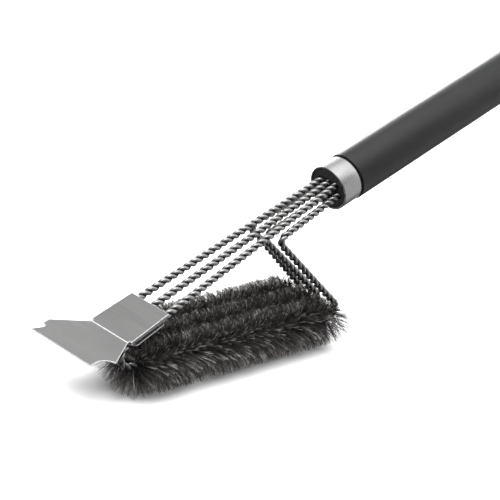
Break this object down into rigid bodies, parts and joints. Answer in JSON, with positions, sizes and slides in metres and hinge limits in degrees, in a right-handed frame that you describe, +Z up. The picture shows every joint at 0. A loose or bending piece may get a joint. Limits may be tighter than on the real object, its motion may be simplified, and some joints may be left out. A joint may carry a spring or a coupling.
{
  "type": "grill cleaning brush",
  "caption": "Long-handled wire brush for cleaning a grill, with looped twisted-wire brush cores, a sheet-steel scraper across the front and a ring to hang it by.",
  "frame": {"origin": "on the floor under the middle of the brush, with the bristle tips standing on the floor and the handle raised as in use", "axes": "+X from the scraper to the handle, +Y across the head towards the side with the hook on the blade, +Z up"},
  "size_m": [0.4324, 0.074, 0.1928],
  "materials": {
    "twisted_wire": "bright drawn stainless wire",
    "bristles": "fine dark spring-wire bristles with brighter tips",
    "sheet_steel": "fine brushed, edges brighter",
    "collar_steel": "turned and brushed round",
    "inner_steel": "plain bright steel",
    "grip_plastic": "satin, very fine grain",
    "black_plastic": "moulded, matt",
    "black_rubber": "matt"
  },
  "bodies": {
    "brush": {"wire_near": "twisted_wire", "wire_middle": "twisted_wire", "wire_far": "twisted_wire", "bristles_near": "bristles", "bristles_middle": "bristles", "bristles_far": "bristles", "scraper_blade": "sheet_steel", "clamp_back_plate": "sheet_steel", "front_collar": "collar_steel", "collar_gasket": "black_rubber", "nose_bushing": "black_plastic", "anchor_block": "black_plastic", "anchor_pin_front": "inner_steel", "anchor_pin_rear": "inner_steel", "inner_tube": "inner_steel", "grip_shell": "grip_plastic", "rear_collar": "collar_steel", "end_cap": "black_plastic", "end_cap_screw": "inner_steel", "ring_eyelet": "inner_steel"},
    "ring": {"hanging_ring": "collar_steel"}
  },
  "joints": [
    {"name": "ring_swing", "type": "hinge", "parent": "brush", "child": "ring", "pos_m": [0.21019, 0, 0.1824], "axis": [0, 1, 0], "range_deg": [-215, 0]}
  ]
}
